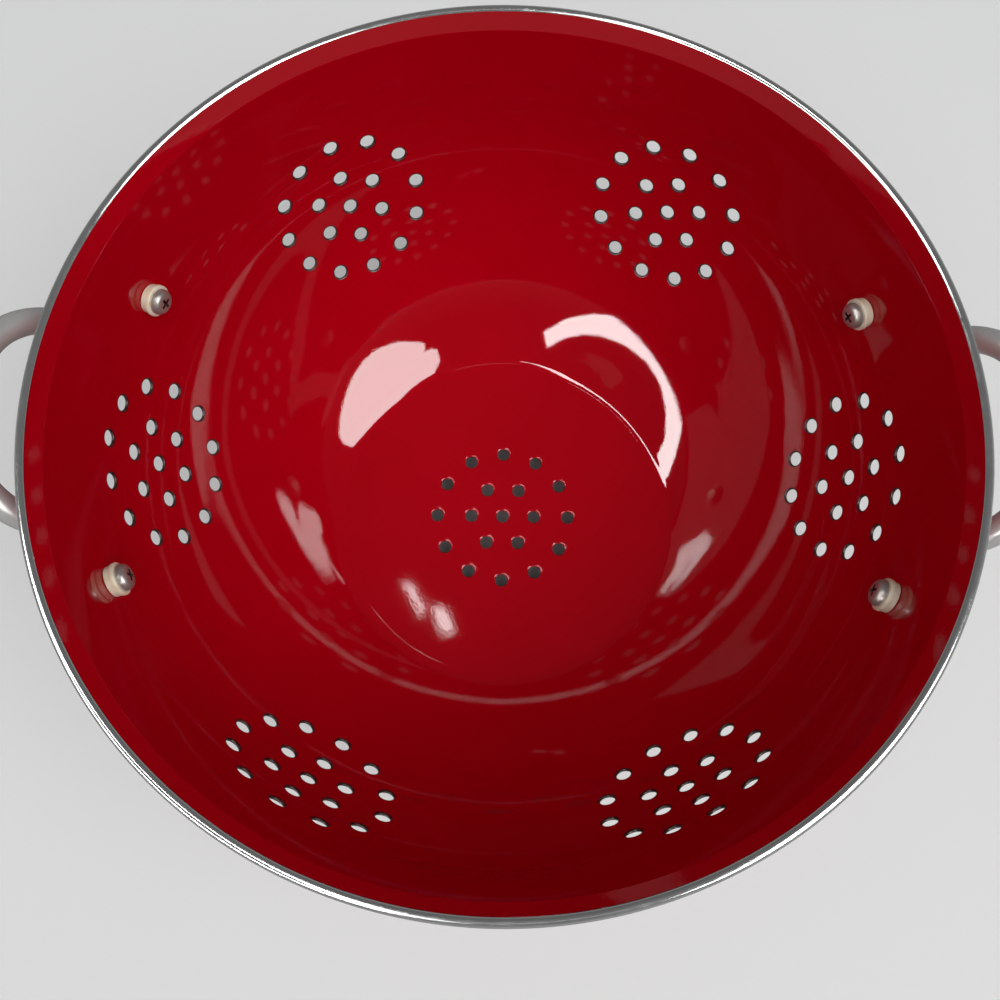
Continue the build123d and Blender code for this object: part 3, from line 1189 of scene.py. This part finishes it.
@dataclass
class Fastening:
    """One screw with its two washers and its cap nut, square to the wall."""

    section: BowlSection
    place: Matrix
    label: str
    steel: Finish
    nylon: Finish
    recess_finish: Finish
    fit: float = 0.05
    seat_gap: float = 0.12
    inner_radius: float = 5.2
    inner_thickness: float = 3.4
    shoulder: float = 1.5
    step: float = 0.35
    outer_radius: float = 5.5
    outer_thickness: float = 1.2
    bore_radius: float = 2.2
    tab_thickness: float = 2.6
    head_radius: float = 4.2
    head_height: float = 2.7
    head_round: float = 2.0
    shank_radius: float = 2.0
    recess_span: float = 4.4
    recess_slot: float = 1.1
    recess_depth: float = 1.5
    recess_taper: float = 0.65
    engagement: float = 3.8
    nut_flats: float = 7.0
    nut_hex: float = 3.2
    nut_dome_radius: float = 3.25
    nut_dome: float = 3.0
    nut_dome_round: float = 2.7
    nut_bevel: float = 0.22
    nut_overlap: float = 0.2
    fine_round: float = 0.1
    edge_round: float = 0.25
    face_round: float = 0.35
    shoulder_round: float = 0.12
    back_round: float = 0.15
    head_crown: float = 0.05
    head_chamfer: float = 0.12
    tip_chamfer: float = 0.4
    facets: int = 64

    @property
    def inner_face(self) -> float:
        """Height of the inner washer's face that the head sits on, from the wall's middle."""
        return -(self.section.wall / 2 + self.fit + self.inner_thickness)

    @property
    def outer_face(self) -> float:
        """Height of the outer washer's face that the tab sits on."""
        return self.section.wall / 2 + self.fit + self.outer_thickness

    def build(self) -> list[bpy.types.Object]:
        """All four pieces."""
        return [self.screw(), self.inner_washer(), self.outer_washer(), self.cap_nut()]

    def inner_washer(self) -> bpy.types.Object:
        """The thick spacer with its shoulder."""
        seat = -(self.section.wall / 2 + self.seat_gap)
        narrow = self.inner_radius - self.step
        corners = (
            (self.bore_radius, seat, self.fine_round),
            (narrow, seat, self.edge_round),
            (narrow, self.inner_face + self.shoulder, self.shoulder_round),
            (self.inner_radius, self.inner_face + self.shoulder, self.edge_round),
            (self.inner_radius, self.inner_face, self.face_round),
            (self.bore_radius, self.inner_face, self.fine_round),
        )
        bm = spun(rounded_outline(corners, 4), self.facets)
        piece = mesh_object(bm, f"spacer_{self.label}", self.place)
        crease_by_angle(piece, 50)
        return dress(piece, self.nylon, f"inner_washer_{self.label}")

    def outer_washer(self) -> bpy.types.Object:
        """The thin washer behind the handle's tab."""
        seat = self.section.wall / 2 + self.seat_gap
        corners = (
            (self.bore_radius, seat, self.fine_round),
            (self.bore_radius, self.outer_face, self.fine_round),
            (self.outer_radius, self.outer_face, self.edge_round),
            (self.outer_radius, seat, self.back_round),
        )
        bm = spun(rounded_outline(corners, 4), self.facets)
        piece = mesh_object(bm, f"backing_washer_{self.label}", self.place)
        crease_by_angle(piece, 50)
        return dress(piece, self.nylon, f"outer_washer_{self.label}")

    def screw(self) -> bpy.types.Object:
        """The pan-head screw with its cross recess."""
        top = self.inner_face - self.head_height
        tip = self.outer_face + self.tab_thickness + self.engagement
        dome_middle = (self.head_radius - self.head_round, top + self.head_round)
        profile = [
            (0, top - self.head_crown),
            (self.head_radius * 0.25, top - self.head_crown * 0.6),
            *arc_points(dome_middle, self.head_round, -90, 0, 10),
            (self.head_radius, self.inner_face - self.head_chamfer),
            (self.head_radius - self.head_chamfer, self.inner_face),
            (self.shank_radius, self.inner_face),
            (self.shank_radius, tip - self.tip_chamfer),
            (self.shank_radius - self.tip_chamfer, tip),
            (0, tip),
        ]
        head = mesh_object(spun(profile, self.facets, closed=False), f"pan_screw_{self.label}")
        for _ in range(1 + Edge.DARK.value):
            head.data.materials.append(None)
        for turn in (0.0, 90.0):
            cut(head, self.recess(top, turn))
        # The cross recess is painted nearly black as shade.
        head.data.materials[Edge.DARK.value] = self.recess_finish.material()
        head.data.transform(Matrix.Scale(MM, 4) @ self.place @ Matrix.Scale(1 / MM, 4))
        crease_by_angle(head, 40)
        return dress(head, self.steel, f"screw_{self.label}")

    def recess(self, top: float, turn: float) -> bpy.types.Object:
        """The cutter for one bar of the head's cross recess, narrower at its bottom."""
        bm = bmesh.new()
        verts = bmesh.ops.create_cube(bm, size=1)["verts"]
        height = self.recess_depth + self.head_round / 2
        bmesh.ops.scale(bm, vec=(self.recess_span, self.recess_slot, height), verts=verts)
        bmesh.ops.translate(bm, vec=(0, 0, top + self.recess_depth - height / 2), verts=verts)
        bottom = [vert for vert in verts if vert.co.z > top]
        bmesh.ops.scale(bm, vec=(self.recess_taper, self.recess_taper, 1), verts=bottom)
        # The recess's faces take the painted shade.
        for face in bm.faces:
            face.material_index = Edge.DARK.value
        cutter = mesh_object(bm, "recess_cutter", Matrix.Rotation(math.radians(turn), 4, "Z"))
        for _ in range(1 + Edge.DARK.value):
            cutter.data.materials.append(None)
        return cutter

    def cap_nut(self) -> bpy.types.Object:
        """The domed nut outside the tab."""
        foot = self.outer_face + self.tab_thickness
        bm = bmesh.new()
        radius = self.nut_flats / 2 / math.cos(math.pi / 6)
        hexagon = bmesh.ops.create_circle(bm, cap_ends=True, segments=6, radius=radius)["verts"]
        bmesh.ops.translate(bm, vec=(0, 0, foot), verts=hexagon)
        raised = bmesh.ops.extrude_face_region(bm, geom=bm.faces[:])["geom"]
        lifted = [g for g in raised if isinstance(g, bmesh.types.BMVert)]
        bmesh.ops.translate(bm, vec=(0, 0, self.nut_hex), verts=lifted)
        bmesh.ops.bevel(
            bm,
            geom=bm.edges[:],
            offset=self.nut_bevel,
            affect="EDGES",
            segments=3,
            profile=0.5,
            material=-1,
        )
        bmesh.ops.recalc_face_normals(bm, faces=bm.faces)
        level = foot + self.nut_hex
        rise = self.nut_dome - self.nut_dome_round
        sunk = level - self.nut_overlap
        dome_middle = (self.nut_dome_radius - self.nut_dome_round, level + rise)
        profile = [
            (0, sunk),
            (self.nut_dome_radius, sunk),
            *arc_points(dome_middle, self.nut_dome_round, 0, 90, 10),
            (0, level + self.nut_dome),
        ]
        cap = spun(profile, self.facets, closed=False)
        capped = bpy.data.meshes.new("cap")
        cap.to_mesh(capped)
        cap.free()
        bm.from_mesh(capped)
        bpy.data.meshes.remove(capped)
        piece = mesh_object(bm, f"dome_nut_{self.label}", self.place)
        crease_by_angle(piece, 40)
        return dress(piece, self.steel, f"cap_nut_{self.label}")


@dataclass
class Colander:
    """The whole colander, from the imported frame's own places."""

    screw_spacing: float = 94.7
    screw_offset: float = 4.8
    section: BowlSection = field(init=False)

    def __post_init__(self) -> None:
        """Reads the rim's place from the frame."""
        low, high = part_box("rim_band")
        band = (high.z - low.z) / MM
        radius = (high.x - low.x) / 2 / MM
        self.section = BowlSection(rim_height=high.z / MM - band / 2, rim_radius=radius)

    def screw_place(self, side: Side, end: End) -> Matrix:
        """Where one screw goes through the wall."""
        middle = 0 if side is Side.RIGHT else 180
        drop = self.section.straight_drop + self.screw_offset
        reach = self.section.wall_place(0, drop).translation.x
        turn = math.degrees(math.asin(self.screw_spacing / 2 / reach))
        return self.section.wall_place(middle + turn * side.value * end.value, drop)

    def build(self) -> list[bpy.types.Object]:
        """Builds every piece."""
        # edge is the nearly black painted shade for the hole edges and the screw recesses.
        enamel, edge, steel, nylon = RedEnamel(), PaintedShadeEdge(), PlainSteel(), CreamNylon()
        places = {(side, end): self.screw_place(side, end) for side in Side for end in End}
        pieces = [
            Bowl(self.section, enamel, edge).build(places.values()),
            RimBand(self.section, PolishedSteel()).build(),
            FootRing(self.section, enamel).build(),
        ]
        for side in Side:
            handle = Handle(self.section, BrushedSteel(), side, tab_height=1.75)
            pieces.append(handle.build(places[Side.RIGHT, End.BACK]))
        for (side, end), place in places.items():
            label = f"{side.name.lower()}_{end.name.lower()}"
            pieces += Fastening(self.section, place, label, steel, nylon, edge).build()
        return pieces


@dataclass(frozen=True)
class Panel:
    """A bright window far off, seen only in reflections.

    Its outline is given by azimuths and elevations in degrees. With an inner outline it is a
    strip between the two, which have the same number of points.
    """

    name: str
    outline: tuple[Point2, ...]
    radiance: float
    deep_radiance: float
    inner: tuple[Point2, ...] = ()
    distance: float = 12.0

    def build(self) -> bpy.types.Object:
        """The panel, with one brightness in a first reflection and another in a reflection of a
        reflection.
        """
        bm = bmesh.new()
        if self.inner:
            places = (self.outline, self.inner)
            runs = [[bm.verts.new(self.point(place)) for place in run] for run in places]
            edges = [bm.edges.new(pair) for run in runs for pair in zip(run[:-1], run[1:])]
            bmesh.ops.bridge_loops(bm, edges=edges)
        else:
            verts = [bm.verts.new(self.point(place)) for place in self.outline]
            bmesh.ops.contextual_create(bm, geom=verts)
            bmesh.ops.triangulate(bm, faces=bm.faces)
        mesh = bpy.data.meshes.new(self.name)
        bm.to_mesh(mesh)
        bm.free()
        mesh.materials.append(self.glow())
        panel = bpy.data.objects.new(self.name, mesh)
        bpy.context.scene.collection.objects.link(panel)
        panel.visible_camera = False
        panel.visible_diffuse = False
        panel.visible_shadow = False
        panel.visible_transmission = False
        return panel

    def glow(self) -> bpy.types.Material:
        """The panel's light."""
        material = bpy.data.materials.new(self.name)
        material.use_nodes = True
        tree = material.node_tree
        tree.nodes.clear()
        glow = tree.nodes.new("ShaderNodeEmission")
        path = tree.nodes.new("ShaderNodeLightPath")
        depth = path.outputs["Ray Depth"]
        strength = map_range(tree, depth, 1.0, 2.0, self.radiance, self.deep_radiance)
        tree.links.new(strength, glow.inputs["Strength"])
        output = tree.nodes.new("ShaderNodeOutputMaterial")
        tree.links.new(glow.outputs[0], output.inputs["Surface"])
        return material

    def point(self, place: Point2) -> Vector:
        """A point of the sphere on which the panel stands."""
        turn, rise = (math.radians(angle) for angle in place)
        level = math.cos(rise)
        spoke = Vector((math.cos(turn) * level, math.sin(turn) * level, math.sin(rise)))
        return spoke * self.distance


RIGHT_WINDOW = Panel(
    "right_window",
    (
        (-57, 37), (-60.5, 40.3), (-60, 44), (-56.3, 45.6), (-45.4, 53.6), (-33, 63), (-17.7, 71.3),
        (-10, 68), (-7.6, 61.5), (-6.7, 50), (-6.7, 36), (-8.7, 34), (-14, 32.6), (-21, 31.4),
        (-27.6, 30.3), (-34, 29.8), (-40, 30), (-48.6, 32.6), (-52, 34.5), (-55, 40),
    ),
    radiance=12,
    deep_radiance=4,
)
RIGHT_PANE = Panel(
    "right_pane",
    (
        (-39.5, 40.5), (-41, 38), (-42, 37), (-45, 36.8), (-47, 36.8), (-49, 37), (-51, 37.6),
        (-53, 38.4), (-55, 39.2), (-57, 38), (-59, 39.6), (-59.6, 40.5), (-59, 41.2), (-57, 41.2),
        (-55, 40.6), (-53, 41), (-51, 41.6), (-48, 42.2), (-44, 42.3), (-42, 42.3),
    ),
    radiance=12,
    deep_radiance=125,
    distance=11.8,
)
LEFT_WINDOW = Panel(
    "left_window",
    (
        (-104.8, 38.3), (-112, 32.5), (-120, 28), (-130, 24), (-137, 22), (-148, 22), (-156, 23.5),
        (-163.4, 27), (-172, 31), (177.4, 35.5), (172, 42), (170, 52), (171, 62), (177, 71),
        (-170, 77), (-150, 80), (-130, 76), (-116, 67), (-106, 58), (-97, 51.5),
    ),
    radiance=17,
    deep_radiance=3,
    inner=(
        (-108, 42.5), (-113, 38.5), (-119, 35), (-125.5, 32.5), (-134, 30.5), (-143.3, 29.3),
        (-152, 30), (-160.4, 31.9), (-169.5, 35.1), (-177, 40), (179, 46), (177, 54), (178, 62),
        (-176, 67), (-166, 71), (-150, 73), (-134, 70), (-121, 63), (-110, 56), (-98, 54.5),
    ),
)
LEFT_PANE = Panel(
    "left_pane",
    (
        (-142, 38), (-140, 37), (-136, 36.8), (-133, 36.8), (-131.3, 37.2), (-131, 40.8),
        (-128, 40.6), (-126, 39.6), (-124, 38.7), (-122, 38.8), (-121, 41.8), (-121.6, 42),
        (-122.6, 39.8), (-124, 39.5), (-126, 40.4), (-128, 41.4), (-130, 42), (-132, 42.2),
        (-135, 42.4), (-137, 43), (-139, 43), (-141, 42.2),
    ),
    radiance=0.2,
    deep_radiance=100,
    distance=11.8,
)
CEILING_GLOW = Panel(
    "ceiling_glow",
    ((-60, 65.5), (-80, 65.5), (-98, 66), (-98, 68.5), (-80, 69.5), (-60, 69.5)),
    radiance=0.6,
    deep_radiance=17,
)
CEILING_SPOTS = (
    Panel(
        "ceiling_spot_left",
        ((118.5, 78.1), (120.6, 77.8), (120.4, 80.2), (118.6, 80.0)),
        radiance=16,
        deep_radiance=8,
    ),
    Panel(
        "ceiling_spot_right",
        ((111.5, 80.4), (115.5, 80.0), (115.5, 81.8), (111.5, 82.0)),
        radiance=16,
        deep_radiance=8,
    ),
)

PANELS = (RIGHT_WINDOW, RIGHT_PANE, LEFT_WINDOW, LEFT_PANE, CEILING_GLOW, *CEILING_SPOTS)


@dataclass
class Studio:
    """Floor, light and camera."""

    floor_size: float = 30.0
    floor_colour: tuple[float, ...] = (0.77, 0.79, 0.785, 1)
    mirrored_floor: tuple[float, ...] = (0.25, 0.25, 0.25, 1)
    seen_floor: tuple[float, ...] = (0.45, 0.462, 0.459, 1)
    floor_lift: float = 0.27
    # Radius of the disc under the foot ring that gets no camera glow: painted shade under the colander.
    shade_disc_radius: float = 0.07
    fade_start: float = 0.4
    fade_end: float = 1.6
    floor_roughness: float = 0.9
    background: float = 0.66
    sky: float = 0.2
    horizon_band: Point2 = (0.2, 0.55)
    mirrored_zenith: float = 0.04
    mirrored_horizon: float = 0.22
    lamp_size: float = 2.0
    lamp_distance: float = 2.6
    lamps: tuple[tuple[float, float, float], ...] = ((-33, 58, 38), (-118, 62, 20))
    focal_pixels: float = 925.0
    frame_pixels: float = 1000.0
    sensor: float = 36.0
    camera_above_rim: float = 240.5
    camera_across: float = -0.3
    camera_forward: float = -97.0
    tilt: float = 15.898
    heading: float = 0.459
    roll: float = 0.718

    def build(self, section: BowlSection) -> None:
        """Sets up everything that isn't the colander."""
        self.floor()
        self.light()
        self.camera(section)

    def floor(self) -> None:
        """A plain pale floor, which the camera alone sees turn into the background far off."""
        bm = bmesh.new()
        bmesh.ops.create_grid(bm, x_segments=1, y_segments=1, size=self.floor_size / 2 / MM)
        piece = mesh_object(bm, "floor")
        sheet = NodeSheet("floor")
        path = sheet.tree.nodes.new("ShaderNodeLightPath")
        seen = path.outputs["Is Camera Ray"]
        spread = sheet.tree.nodes.new("ShaderNodeVectorMath")
        spread.operation = "LENGTH"
        sheet.link(sheet.place, spread.inputs[0])
        distance = spread.outputs["Value"]
        # For camera rays the floor glows only from this radius out, so the disc under the foot ring
        # stays darker as painted shade.
        lift = sheet.ramp(distance, self.shade_disc_radius, self.shade_disc_radius + MM, 0, self.floor_lift)
        far = sheet.ramp(distance, self.fade_start, self.fade_end)
        rest = sheet.math("MULTIPLY", far, self.background - self.floor_lift)
        glow = sheet.math("MULTIPLY", seen, sheet.math("ADD", lift, rest))
        tone = sheet.mix(path.outputs["Is Glossy Ray"], self.floor_colour, self.mirrored_floor)
        near = sheet.mix(far, self.seen_floor, BLACK)
        sheet.set(
            base_color=sheet.mix(seen, tone, near),
            roughness=self.floor_roughness,
            emission_color=WHITE,
            emission_strength=glow,
        )
        sheet.material.cycles.emission_sampling = "NONE"
        piece.data.materials.append(sheet.material)

    def light(self) -> None:
        """A soft sky, two soft lamps, and the windows that the enamel mirrors."""
        world = bpy.data.worlds.new("studio")
        bpy.context.scene.world = world
        world.use_nodes = True
        tree = world.node_tree
        background = tree.nodes["Background"]
        background.inputs["Color"].default_value = WHITE
        path = tree.nodes.new("ShaderNodeLightPath")
        place = tree.nodes.new("ShaderNodeTexCoord").outputs["Generated"]
        direction = tree.nodes.new("ShaderNodeSeparateXYZ")
        tree.links.new(place, direction.inputs[0])
        mirrored = map_range(
            tree,
            direction.outputs["Z"],
            *self.horizon_band,
            self.mirrored_horizon,
            self.mirrored_zenith,
        )
        strength = map_range(tree, path.outputs["Is Glossy Ray"], 0, 1, self.sky, mirrored)
        strength = map_range(tree, path.outputs["Is Camera Ray"], 0, 1, strength, self.background)
        tree.links.new(strength, background.inputs["Strength"])
        for azimuth, height, power in self.lamps:
            self.lamp(azimuth, height, power)
        for panel in PANELS:
            panel.build()

    def lamp(self, azimuth: float, height: float, power: float) -> None:
        """A soft lamp that lights the colander but isn't mirrored in it.

        Args:
            azimuth: Its direction in degrees.
            height: Its elevation in degrees.
            power: Its power in watts.
        """
        data = bpy.data.lights.new("soft_lamp", "AREA")
        data.shape = "DISK"
        data.size = self.lamp_size
        data.energy = power
        lamp = bpy.data.objects.new("soft_lamp", data)
        bpy.context.scene.collection.objects.link(lamp)
        lamp.visible_glossy = False
        lamp.matrix_world = (
            Matrix.Rotation(math.radians(azimuth), 4, "Z")
            @ Matrix.Rotation(math.radians(90 - height), 4, "Y")
            @ Matrix.Translation((0, 0, self.lamp_distance))
        )

    def camera(self, section: BowlSection) -> None:
        """The camera, at the photograph's viewing angle."""
        data = bpy.data.cameras.new("camera")
        data.sensor_width = self.sensor
        data.lens = self.sensor * self.focal_pixels / self.frame_pixels
        data.clip_start = 0.01
        camera = bpy.data.objects.new("camera", data)
        bpy.context.scene.collection.objects.link(camera)
        bpy.context.scene.camera = camera
        height = section.rim_height + self.camera_above_rim
        place = Vector((self.camera_across, self.camera_forward, height)) * MM
        camera.matrix_world = (
            Matrix.Translation(place)
            @ Matrix.Rotation(math.radians(self.heading), 4, "Z")
            @ Matrix.Rotation(math.radians(self.tilt), 4, "X")
            @ Matrix.Rotation(math.radians(self.roll), 4, "Z")
        )


def main() -> None:
    """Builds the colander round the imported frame, then the studio."""
    logging.basicConfig(level=logging.INFO, format="%(name)s %(message)s")
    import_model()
    colander = Colander()
    pieces = colander.build()
    Studio().build(colander.section)
    bpy.context.scene.view_settings.view_transform = "Standard"


if __name__ == "__main__":
    main()
